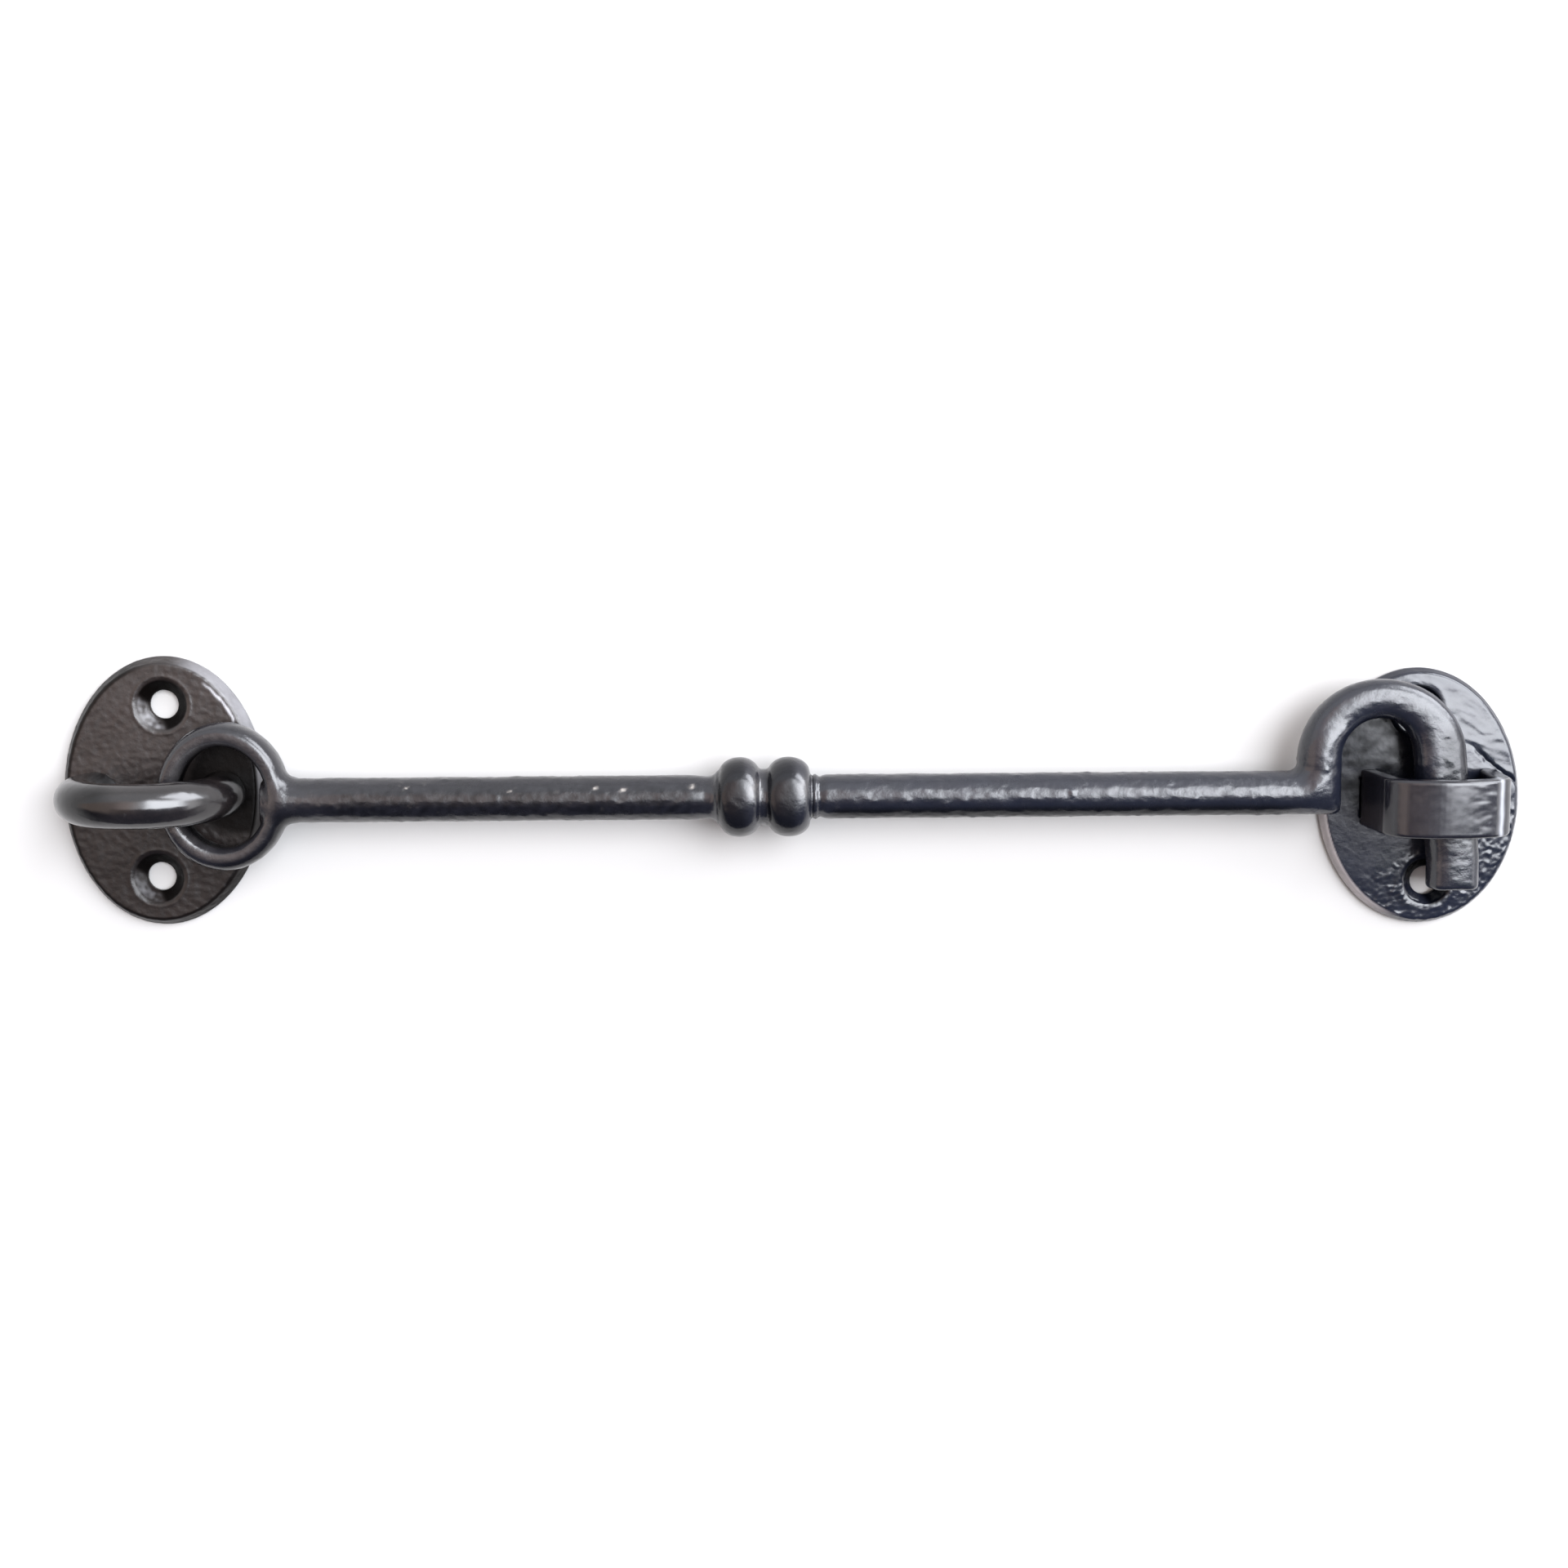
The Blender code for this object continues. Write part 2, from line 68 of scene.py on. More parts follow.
LOOP_R, LOOP_BAR_R, LOOP_LEG_X = 11.85, 3.7, 10.9
LOOP_Z = FOOT_Z + math.sqrt(LOOP_R**2 - LOOP_LEG_X**2)
LOOP_PIN_R, LOOP_PIN_TOP, LOOP_SLOT_R = 2.5, 5.0, 2.75

ARM_Z, BAR_X, BAR_Y, BAR_R = 7.8, 19.0, -0.8, 3.75
EYE_X, EYE_OUT, EYE_IN, EYE_SQUASH, EYE_HALF = 12.4, 12.55, 8.55, 0.88, 3.4
BEND_X, BEND_Y, BEND_R = 206.8, 4.9, 10.1
BEND_END = 6  # degrees, where the bend runs into the second leg
CORNER_X, LEG_R, CROWN_R, TIP_R = BEND_X - BEND_R, 3.7, 3.3, 4.3
TIP_Y = -17.3

KEEP_X, KEEP_Y, KEEP_HALF, KEEP_THICK, KEEP_HALF_Y = 216.65, -2.45, 10.2, 2.7, 4.8
KEEP_ROUND = 0.55
KEEP_PIN, KEEP_PIN_TOP, KEEP_SLOT = (1.05, 3.2), 3.5, (1.35, 3.45)  # half sizes in x and y


# ---------------------------------------------------------------- field helpers
def soft_min(first, second, blend):
    part = np.clip(0.5 + 0.5 * (second - first) / blend, 0.0, 1.0)
    return second * (1 - part) + first * part - blend * part * (1 - part)


def soft_max(first, second, blend):
    return -soft_min(-first, -second, blend)


def rise(value, low, high):
    """Smooth step from 0 at low to 1 at high."""
    part = np.clip((value - low) / (high - low), 0.0, 1.0)
    return part * part * (3 - 2 * part)


def fall(value, low, high):
    return 1 - rise(value, low, high)


def bell(offset, width):
    return np.exp(-((offset / width) ** 2))


def turned(x, y, degrees):
    """x, y in axes turned counterclockwise."""
    angle = math.radians(degrees)
    cos, sin = math.cos(angle), math.sin(angle)
    return x * cos + y * sin, -x * sin + y * cos


def plate_axes(x, y, plate):
    return turned(x - plate["at"][0], y - plate["at"][1], plate["turn"])


def plate_wall(x, y, z, plate):
    """Rough distance outside the plate's wall: upright at the foot, leaning inwards above."""
    across, along = plate_axes(x, y, plate)
    half_x, half_y = plate["half"]
    ratio = np.sqrt((across / half_x) ** 2 + (along / half_y) ** 2) + 1e-9
    slope = np.sqrt((across / half_x**2) ** 2 + (along / half_y**2) ** 2) + 1e-9
    return ratio * (ratio - 1.0) / slope + BEVEL_SLOPE * np.maximum(0.0, z - BEVEL_Z)


def plate_facing(x, y, plate, toward):
    """1 on the side of the plate towards a direction in degrees, -1 opposite."""
    across, along = plate_axes(x, y, plate)
    half_x, half_y = plate["half"]
    return np.cos(np.arctan2(along / half_y, across / half_x) - math.radians(toward))


def around_screws(x, y, plate):
    """For each screw: the distance from its axis, and the offset from it towards -x -y."""
    angle = math.radians(plate["turn"])
    mid_x, mid_y = plate["screws_at"]
    found = []
    for side in (1, -1):
        screw_x = mid_x - side * SCREW_Y * math.sin(angle)
        screw_y = mid_y + side * SCREW_Y * math.cos(angle)
        offset = (screw_x - x) + (screw_y - y) * 0.8
        found.append((np.hypot(x - screw_x, y - screw_y), offset))
    return found


def line_distance(x, y, line):
    """Distance to a chain of straight runs between points."""
    best = np.inf
    for (start_x, start_y), (end_x, end_y) in zip(line, line[1:]):
        run_x, run_y = end_x - start_x, end_y - start_y
        part = ((x - start_x) * run_x + (y - start_y) * run_y) / (run_x * run_x + run_y * run_y)
        part = np.clip(part, 0.0, 1.0)
        best = np.minimum(best, np.hypot(x - start_x - part * run_x, y - start_y - part * run_y))
    return best


# ---------------------------------------------------------------- plates and staple
def round_slot(x, y, z):
    """Hole for a staple pin, wider at the back."""
    return np.hypot(x, y) - LOOP_SLOT_R - np.clip(1.25 - z, 0.0, 1.0)


def square_slot(x, y, z):
    return np.maximum(np.abs(x) - KEEP_SLOT[0], np.abs(y) - KEEP_SLOT[1])


def plate_field(plate, slot, slots_at):
    half_x, half_y = plate["half"]

    def field(x, y, z):
        across, along = plate_axes(x, y, plate)
        wall = plate_wall(x, y, z, plate) / BEVEL_SCALE
        sag = plate["dome"] * ((across / half_x) ** 2 + (along / half_y) ** 2)
        dist = soft_max(wall, z - (PLATE_THICK + 0.03 - sag), 0.4)
        dist = soft_max(dist, -z, 0.25)
        for radius, _ in around_screws(x, y, plate):
            hole = (radius - SCREW_R - np.maximum(0.0, z - SINK_Z)) * 0.75
            dist = soft_max(dist, -hole, 0.35)
        for slot_x, slot_y in slots_at:
            dist = np.maximum(dist, -slot(x - slot_x, y - slot_y, z))
        return dist

    return field


def loop_field(x, y, z):
    ring = np.hypot(x, z - LOOP_Z)
    dist = np.hypot(ring - LOOP_R, y) - LOOP_BAR_R
    dist = soft_max(dist, SEAT_Z - z, 0.1)
    for leg_x in (LOOP_LEG_X, -LOOP_LEG_X):
        # each pin is spread into a head at the back of the plate
        side = np.hypot(x - leg_x, y) - LOOP_PIN_R - np.clip(1.12 - z, 0.0, 0.95)
        pin = np.maximum(np.maximum(side, PIN_BASE_Z - z), z - LOOP_PIN_TOP)
        dist = np.minimum(dist, pin)
    return dist


# ---------------------------------------------------------------- arm
def bead(centre, half, least_left, least_right):
    """Profile of a bead that stands 2.97 proud of the bar, with a least radius on each side."""
    points = []
    for part in np.linspace(-1.0, 1.0, 25):
        radius = BAR_R + 2.97 * (1.0 - abs(part) ** 2.1) ** (1 / 2.1)
        least = least_left if part < 0 else least_right
        points.append((centre + half * part, max(radius, least)))
    return points


# (x, radius) along the bar: neck, two beads with a narrow groove between, collar and neck
BAR_PROFILE = np.array(
    [(17.0, 3.0), (20.4, 3.15), (22.0, 3.75), (23.2, 3.9), (25.2, 3.75), (91.2, 3.75)]
    + [(92.6, 3.62), (93.6, 3.55), (94.4, 3.68), (95.0, 4.0), (95.45, 4.5)]
    + bead(99.15, 3.5, 4.5, 4.75)
    + [(102.85, 4.72), (103.7, 4.72)]
    + bead(107.5, 3.65, 4.75, 3.6)
    + [(111.3, 3.46), (111.6, 3.72), (111.9, 3.84), (112.2, 3.7), (112.5, 3.42), (112.8, 3.42)]
    + [(113.2, 3.6), (113.7, 3.75), (198.0, 3.72), (230.0, 3.72)]
)

# (x, y) down the hook's second leg, from the end of the bend to past the tip
HOOK_LEG = [
    (
        BEND_X + BEND_R * math.cos(math.radians(BEND_END)),
        BEND_Y + BEND_R * math.sin(math.radians(BEND_END)),
    ),
    *[(217.3, 1.8), (218.35, -4.0), (219.25, -8.6), (219.6, -12.0), (219.65, -22.0)],
]


def eye_section(radius, height):
    """A flattened ring, its face rounding over into the hole and into the outer shoulder."""
    middle, wide = (EYE_OUT + EYE_IN) / 2, (EYE_OUT - EYE_IN) / 2
    power = np.where(radius > middle, 2.25, 3.6)
    out, up = np.abs(radius - middle) / wide + 1e-6, np.abs(height) / EYE_HALF + 1e-6
    ratio = (out**power + up**power) ** (1.0 / power)
    slope = np.sqrt((out ** (power - 1) / wide) ** 2 + (up ** (power - 1) / EYE_HALF) ** 2)
    return (ratio - 1.0) / (slope / ratio ** (power - 1))


def bar_and_first_leg(x, y, height):
    """The bar and the hook's first leg meet in a corner, rounded on its outside."""
    bar = np.hypot(y - BAR_Y, height) - np.interp(x, BAR_PROFILE[:, 0], BAR_PROFILE[:, 1])
    leg = np.hypot(x - CORNER_X, height) - LEG_R
    outward = ((x - CORNER_X) - (y - BAR_Y)) / math.sqrt(2.0)
    soft = np.clip(np.abs(outward) * 0.9, 1e-3, 1.7)
    dist = np.where(outward > 0.0, soft_max(bar, leg, soft), soft_min(bar, leg, soft))
    return np.maximum(dist, BAR_X - x)


def hook_bend(x, y, height):
    """The arch between the legs, thinner at its crown."""
    from_x, from_y = x - BEND_X, y - BEND_Y
    angle = np.degrees(np.arctan2(from_y, from_x))
    angle = np.where(angle < -90.0, angle + 360.0, angle)
    part = np.clip((180.0 - angle) / (180.0 - BEND_END), 0.0, 1.0)
    end_r = LEG_R + (TIP_R - LEG_R) * rise(part, 0.45, 0.55)
    thick = end_r + (CROWN_R - end_r) * np.sin(math.pi * part) ** 1.5
    arch = np.hypot(np.hypot(from_x, from_y) - BEND_R, height) - thick
    return np.where(angle > 4.0, arch, np.maximum(arch, 1.5))


def arm_field(x, y, z):
    height = z - ARM_Z
    dist = bar_and_first_leg(x, y, height)
    below = np.where(x > BEND_X, np.maximum(dist, 1.0), dist)
    dist = np.where((y >= BEND_Y) & (x > 188.0), hook_bend(x, y, height), below)
    second = np.hypot(line_distance(x, y, HOOK_LEG), height) - TIP_R
    dist = np.minimum(dist, soft_max(second, TIP_Y - y, 0.9))
    # the hook's +z side is slightly flattened
    pressed = np.maximum(rise(y, 4.0, 12.0), rise(x, 202.0, 209.0))
    swell = (TIP_R - 0.5 * rise(y, -4.0, 12.0) - LEG_R) * rise(x, 203.0, 216.0)
    flat = height - 0.82 * (LEG_R + swell)
    dist = soft_max(dist, flat - 3.0 * (1.0 - pressed), 1.3)
    eye = eye_section(np.hypot((x - EYE_X) / EYE_SQUASH, y), height) * 0.94
    return soft_min(dist, eye, 1.7)


# ---------------------------------------------------------------- strap
def strap_line():
    """Middle line of the strap as (x, z) about its centre: straight legs, shoulders, shallow crown."""
    leg_length, shoulder_r, shoulder_turn, shoulder_steps, crown_steps = 10.0, 4.0, 66.0, 12, 8
    turn = 84.0  # heading, degrees from +x
    x, z = -KEEP_HALF, FOOT_Z
    line = [(x, z - 1.0 * math.sin(math.radians(turn)))]
    x += leg_length * math.cos(math.radians(turn))
    z += leg_length * math.sin(math.radians(turn))
    line.append((x, z))
    part = shoulder_turn / shoulder_steps
    run = shoulder_r * math.radians(part)
    for _ in range(shoulder_steps):
        turn -= part / 2
        x += run * math.cos(math.radians(turn))
        z += run * math.sin(math.radians(turn))
        turn -= part / 2
        line.append((x, z))
    rest = math.radians(turn)
    radius = -x / math.sin(rest)
    for i in range(1, crown_steps + 1):
        angle = rest * (1 - i / crown_steps)
        line.append((-radius * math.sin(angle), z + radius * (math.cos(angle) - math.cos(rest))))
    return line + [(-left_x, left_z) for left_x, left_z in reversed(line[:-1])]


STRAP_LINE = strap_line()


def strap_field(x, y, z):
    from_x, from_y = x - KEEP_X, np.abs(y - KEEP_Y)
    thick = line_distance(from_x, z, STRAP_LINE) - KEEP_THICK / 2 + KEEP_ROUND
    wide = from_y - KEEP_HALF_Y + KEEP_ROUND
    outside = np.sqrt(np.maximum(thick, 0.0) ** 2 + np.maximum(wide, 0.0) ** 2)
    dist = outside + np.minimum(np.maximum(thick, wide), 0.0) - KEEP_ROUND
    dist = soft_max(dist, SEAT_Z - z, 0.1)
    for side in (-1, 1):
        pin = np.maximum(np.abs(from_x - side * KEEP_HALF) - KEEP_PIN[0], from_y - KEEP_PIN[1])
        pin = np.maximum(np.maximum(pin, PIN_BASE_Z - z), z - KEEP_PIN_TOP)
        dist = np.minimum(dist, pin)
    return dist


# ---------------------------------------------------------------- noise
NOISE_TABLES = {}


def noise(points, size, seed):
    """Gradient noise at points (n, 3); size is the length of one bump, a number or one per axis."""
    if seed not in NOISE_TABLES:
        table = np.random.RandomState(seed).normal(size=(32, 32, 32, 3))
        NOISE_TABLES[seed] = table / np.linalg.norm(table, axis=3, keepdims=True)
    table = NOISE_TABLES[seed]
    place = points / np.asarray(size, float) + 57.3
    corner = np.floor(place).astype(int)
    part = place - corner
    ease = part * part * part * (part * (part * 6 - 15) + 10)
    total = np.zeros(len(points))
    for offset in product((0, 1), repeat=3):
        slope = table[tuple(((corner + offset) % 32).T)]
        weight = np.where(offset, ease, 1 - ease).prod(axis=1)
        total += weight * (slope * (part - offset)).sum(1)
    return total * 1.6


# ---------------------------------------------------------------- skins
def cell_points(values, cells):
    """The mean of the edge crossings in each cell, in steps of the grid."""
    total = np.zeros((len(cells[0]), 3))
    count = np.zeros(len(cells[0]))
    for axis in range(3):
        for edge in product((0, 1), repeat=2):
            start, end = [*edge[:axis], 0, *edge[axis:]], [*edge[:axis], 1, *edge[axis:]]
            first, last = (
                values[tuple(index + step for index, step in zip(cells, ends))]
                for ends in (start, end)
            )
            crossed = (first < 0) != (last < 0)
            part = np.where(crossed, first / np.where(crossed, first - last, 1.0), 0.0)
            point = np.tile(np.array(start, float), (len(part), 1))
            point[:, axis] += part
            total[crossed] += point[crossed]
            count[crossed] += 1
    return total / count[:, None] + np.stack(cells, 1)


def field_slope(field, points, reach):
    slope = np.zeros_like(points)
    for axis in range(3):
        ahead, behind = points.copy(), points.copy()
        ahead[:, axis] += reach
        behind[:, axis] -= reach
        slope[:, axis] = (field(*ahead.T) - field(*behind.T)) / (2 * reach)
    return slope


def surface_quads(inside, ids):
    """One quad around every grid edge that crosses the surface, facing outwards."""
    quads = []
    for axis in range(3):
        before, after = [slice(None)] * 3, [slice(None)] * 3
        before[axis], after[axis] = slice(0, -1), slice(1, None)
        here = inside[tuple(before)]
        edges = np.nonzero(here != inside[tuple(after)])
        second, third = (axis + 1) % 3, (axis + 2) % 3
        kept = (edges[second] > 0) & (edges[third] > 0)
        kept &= (edges[second] < ids.shape[second]) & (edges[third] < ids.shape[third])
        edges = [index[kept] for index in edges]
        corners = []
        for second_step, third_step in ((-1, -1), (0, -1), (0, 0), (-1, 0)):
            corner = list(edges)
            corner[second] = edges[second] + second_step
            corner[third] = edges[third] + third_step
            corners.append(ids[tuple(corner)])
        quad = np.stack(corners, 1)
        flip = ~here[tuple(edges)]
        quad[flip] = quad[flip][:, ::-1]
        quads.append(quad)
    return np.concatenate(quads)


def quad_object(name, points, quads):
    mesh = bpy.data.meshes.new(name)
    mesh.vertices.add(len(points))
    mesh.vertices.foreach_set("co", (points * MM).astype(np.float32).ravel())
    mesh.loops.add(quads.size)
    mesh.loops.foreach_set("vertex_index", quads.astype(np.int32).ravel())
    mesh.polygons.add(len(quads))
    mesh.polygons.foreach_set("loop_start", np.arange(0, quads.size, 4, dtype=np.int32))
    mesh.polygons.foreach_set("loop_total", np.full(len(quads), 4, np.int32))
    mesh.polygons.foreach_set("use_smooth", np.ones(len(quads), bool))
    mesh.update(calc_edges=True)
    mesh.validate()
    obj = bpy.data.objects.new(name, mesh)
    bpy.context.scene.collection.objects.link(obj)
    return obj


def skin(name, field, low, high, cell, ripple):
    """A closed quad mesh of field = 0 in a box, drawn onto the field, rippled along its normals."""
    axes = [
        start + size * np.arange(int(math.ceil((end - start) / size)) + 1)
        for start, end, size in zip(low, high, cell)
    ]
    values = field(*np.meshgrid(*axes, indexing="ij", sparse=True))
    values = np.where(np.abs(values) < 1e-6, 1e-6, values)
    inside = values < 0
    count_x, count_y, count_z = counts = [size - 1 for size in values.shape]
    corners_in = np.zeros(counts, np.int8)
    for i, j, k in product((0, 1), repeat=3):
        corners_in += inside[i : i + count_x, j : j + count_y, k : k + count_z]
    cells = np.nonzero((corners_in > 0) & (corners_in < 8))
    ids = np.full(counts, -1, np.int64)
    ids[cells] = np.arange(len(cells[0]))
    points = cell_points(values, cells) * np.array(cell) + np.array(low)
    for _ in range(3):
        slope = field_slope(field, points, 0.03)
        steep = np.maximum((slope * slope).sum(1), 0.05)[:, None]
        move = field(*points.T)[:, None] * slope / steep
        length = np.linalg.norm(move, axis=1, keepdims=True)
        points -= move * np.minimum(1.0, 0.4 * min(cell) / np.maximum(length, 1e-9))
    slope = field_slope(field, points, 0.12)
    normals = slope / np.maximum(np.linalg.norm(slope, axis=1), 1e-9)[:, None]
    points = points + normals * ripple(points, normals)[:, None]
    return quad_object(name, points, surface_quads(inside, ids)), points


# ---------------------------------------------------------------- ripple of each piece, mm
def hinge_plate_ripple(points, normals):
    x, y, z = points.T
    top = rise(z, 2.2, 2.8) * rise(normals[:, 2], 0.7, 0.95)
    depth = 0.05 * noise(points, (1.25, 1.0, 1.1), 11)
    depth += 0.022 * noise(points, 0.68, 12) + 0.06 * noise(points, 7.0, 13)
    sunk = 0.03 * noise(points, 1.3, 14)
    for radius, _ in around_screws(x, y, HINGE_PLATE):
        # calm near the screw, with a raised ring around the countersink
        depth = depth * rise(radius, 3.0, 5.2) + 0.07 * bell(radius - 4.95, 0.22) * top
        depth += sunk * (radius < 4.6)
    depth *= 1 - 0.75 * under_eye(points)
    return depth * (0.25 + 0.75 * rise(z, 0.3, 1.5))


def crack(points):
    """Distance from a jagged fold in the receiver plate's skin, and how far along it each point is."""
    x, y, _ = points.T
    start, end = np.array((223.9, 6.3)), np.array((233.6, -1.2))
    run = end - start
    from_x, from_y = x - start[0], y - start[1]
    part = (from_x * run[0] + from_y * run[1]) / (run @ run)
    side = (from_y * run[0] - from_x * run[1]) / np.linalg.norm(run)
    wander = 0.30 * noise(points, 2.6, 31) + 0.20 * noise(points, 1.0, 32)
    return np.abs(side + wander + 0.5 * np.sin(part * 3.3)), part


def receiver_plate_ripple(points, normals):
    """Wrinkles towards +x, cast grain towards -y, and the fold."""
    x, y, z = points.T
    across, along = plate_axes(x, y, RECEIVER_PLATE)
    low = rise(-along + 0.45 * across, 6.0, 13.0)
    up = rise(across + 0.5 * along, -1.0, 8.0)
    bent = np.stack([*turned(x, y, -24), z], 1)
    bent[:, 1] += 0.9 * noise(points, 5.0, 21)
    wrinkle = 0.055 * noise(bent, (5.5, 1.6, 4.0), 22) + 0.036 * noise(bent, (2.6, 0.9, 3.0), 23)
    cast = 0.14 * np.maximum(0.0, noise(points, 1.05, 24)) ** 1.2 + 0.05 * noise(points, 0.7, 25)
    depth = wrinkle * (0.16 + 0.84 * up) * (1 - 0.6 * low) + cast * (0.07 + 0.93 * low)
    depth += 0.03 * noise(points, 8.0, 26)
    for radius, _ in around_screws(x, y, RECEIVER_PLATE):
        ring = 0.07 * bell(radius - 4.9, 0.4) * rise(normals[:, 2], 0.6, 0.9)
        depth = depth * rise(radius, 2.6, 5.0) + ring
    off, part = crack(points)
    ends = rise(part, -0.05, 0.30) * fall(part, 1.0, 1.1)
    depth -= 0.42 * bell(off, 0.30) * ends * rise(normals[:, 2], 0.2, 0.8)
    # nothing may rise towards the hook's tip
    return np.minimum(depth, 0.16) * (0.2 + 0.8 * rise(z, 0.3, 1.5))


def arm_ripple(points, normals):
    """Peel, lumps and flecks all over, calmer on some parts; pits on the arch, ridges on the tip."""
    x, y, _ = points.T
    right = rise(x, 112.0, 130.0)
    peel = 0.032 * noise(points, 1.25, 41) + 0.018 * noise(points, 0.8, 42)
    peel += 0.03 * noise(points, (2.6, 1.8, 1.8), 47)
    lump = (0.075 - 0.03 * right) * noise(points, (6.0, 3.5, 3.5), 43)
    flecks = 0.11 * np.maximum(0.0, noise(points, 1.5, 44) - 0.42) / 0.45
    tip = rise(x, 200.0, 206.0) * rise(-y, 5.0, 9.0)
    arch = rise(y, 4.0, 7.0) * rise(x, 190.0, 193.0)
    beads = rise(x, 94.0, 96.0) * fall(x, 111.0, 112.0)
    eye = fall(x, 20.0, 26.0)
    calm = (1 - 0.55 * arch) * (1 - 0.5 * beads) * (1 - 0.5 * eye) * (1 - 0.5 * tip)
    depth = calm * (peel * (1.05 + 0.25 * right) + lump + flecks * (0.8 + 0.3 * right))
    pits = np.maximum(0.0, noise(points, 1.1, 49) - 0.5)
    depth += arch * (0.014 * noise(points, 0.85, 48) - 0.03 * pits)
    return depth + tip * 0.028 * noise(points, (3.0, 0.95, 3.0), 45)


def loop_ripple(points, normals):
    return 0.012 * noise(points, 1.2, 51) + 0.03 * noise(points, 4.0, 52)


def strap_ripple(points, normals):
    """Gentle waves, with finer ridges on the +x side."""
    depth = 0.008 * noise(points, 1.3, 61) + 0.035 * noise(points, 5.5, 62)
    ridges = 0.028 * noise(points, (3.4, 1.25, 3.4), 63) + 0.012 * noise(points, (1.6, 0.7, 1.6), 64)
    return depth + rise(points[:, 0], 218.0, 221.0) * ridges


# ---------------------------------------------------------------- shader helpers
def feed(tree, socket, value):
    """Set a socket to a number or an RGB colour, or link another socket to it."""
    if isinstance(value, tuple):
        socket.default_value = (*value, 1.0)
    elif isinstance(value, (int, float)):
        socket.default_value = value
    else:
        tree.links.new(value, socket)


def node(tree, kind, **values):
    made = tree.nodes.new(kind)
    for key, value in values.items():
        feed(tree, made.inputs[key], value)
    return made


def blank_material(name):
    made = bpy.data.materials.new(name)
    made.use_nodes = True
    tree = made.node_tree
    tree.nodes.clear()
    out = tree.nodes.new("ShaderNodeOutputMaterial")
    bsdf = tree.nodes.new("ShaderNodeBsdfPrincipled")
    tree.links.new(bsdf.outputs["BSDF"], out.inputs["Surface"])
    return made, tree, bsdf


def millimetres(tree):
    place = tree.nodes.new("ShaderNodeTexCoord")
    scaled = tree.nodes.new("ShaderNodeMapping")
    scaled.inputs["Scale"].default_value = [1000.0] * 3
    tree.links.new(place.outputs["Object"], scaled.inputs["Vector"])
    return scaled.outputs["Vector"]


def grain(tree, vector, size, detail=3.0, rough=0.6, warp=0.0):
    values = dict(Scale=1.0 / size, Detail=detail, Roughness=rough, Distortion=warp, Vector=vector)
    return node(tree, "ShaderNodeTexNoise", **values).outputs["Fac"]


def ranged(tree, value, span, to=(0.0, 1.0), kind="LINEAR"):
    """Map a value from one (low, high) span to another."""
    made = tree.nodes.new("ShaderNodeMapRange")
    made.interpolation_type = kind
    names = ("Value", "From Min", "From Max", "To Min", "To Max")
    for name, given in zip(names, (value, *span, *to)):
        feed(tree, made.inputs[name], given)
    return made.outputs["Result"]


def mixed(tree, factor, first, second):
    made = tree.nodes.new("ShaderNodeMix")
    made.data_type = "RGBA"
    # 6, 7 and output 2 are the colour sockets
    for index, value in ((6, first), (7, second), (0, factor)):
        feed(tree, made.inputs[index], value)
    return made.outputs[2]


def attribute(tree, name):
    made = tree.nodes.new("ShaderNodeAttribute")
    made.attribute_name = name
    return made.outputs["Fac"]


def tinted(colour, factor):
    return tuple(part * factor for part in colour)


# ---------------------------------------------------------------- paints
COOL_BLACK = (0.0062, 0.0076, 0.0138)


def black_paint(name, dark, light, worn_and_lit, rough, fine, fine_depth, coat=0.0):
    """Black paint over metal, uneven in colour and sheen, with fine grain.

    dark and light are colours; a third colour serves chipped paint and painted highlights and
    reflections.
    rough is the range of roughness, fine and fine_depth the size and depth of the grain in mm. One
    vertex attribute places the third colour, cool places bluish paint, and shade places painted shade.
    """
    made, tree, bsdf = blank_material(name)
    vector = millimetres(tree)
    cloud = ranged(tree, grain(tree, vector, size=5.5, detail=4.0), span=(0.32, 0.68))
    speck = ranged(tree, grain(tree, vector, size=0.7, rough=0.7), span=(0.4, 0.7))
    colour = mixed(tree, cloud, dark, light)
    dots = mixed(tree, speck, tinted(dark, 0.8), tinted(light, 1.25))
    dot_share = tree.nodes.new("ShaderNodeValue")
    dot_share.outputs[0].default_value = 0.35
    colour = mixed(tree, dot_share.outputs[0], colour, dots)
    # chipped paint, painted highlights and painted reflections, all in the third colour
    colour = mixed(tree, attribute(tree, "wear_and_painted_light"), colour, worn_and_lit)
    colour = mixed(tree, attribute(tree, "cool"), colour, COOL_BLACK)
    # painted shade: a darker colour and a weaker reflection where the shade attribute is set
    painted_shade = attribute(tree, "shade")
    colour = mixed(tree, painted_shade, colour, tinted(dark, 0.15))
    shine = ranged(tree, painted_shade, span=(0.0, 1.0), to=(0.5, 0.06))
    sheen = ranged(tree, grain(tree, vector, size=3.0, detail=5.0), span=(0.3, 0.7), to=rough)
    feed(tree, bsdf.inputs["Base Color"], colour)
    feed(tree, bsdf.inputs["Specular IOR Level"], shine)
    feed(tree, bsdf.inputs["Roughness"], sheen)
    bsdf.inputs["IOR"].default_value = 1.52
    if coat:
        bsdf.inputs["Coat Weight"].default_value = coat
        bsdf.inputs["Coat Roughness"].default_value = 0.12
    # a coarse bump under a fine one
    height = grain(tree, vector, size=fine * 2.6, detail=4.0, warp=0.4)
    coarse = node(tree, "ShaderNodeBump", Strength=1.0, Distance=fine_depth * 1.8 * MM, Height=height)
    height = grain(tree, vector, size=fine)
    small = node(tree, "ShaderNodeBump", Strength=1.0, Distance=fine_depth * MM, Height=height)
    tree.links.new(coarse.outputs["Normal"], small.inputs["Normal"])
    tree.links.new(small.outputs["Normal"], bsdf.inputs["Normal"])
    return made


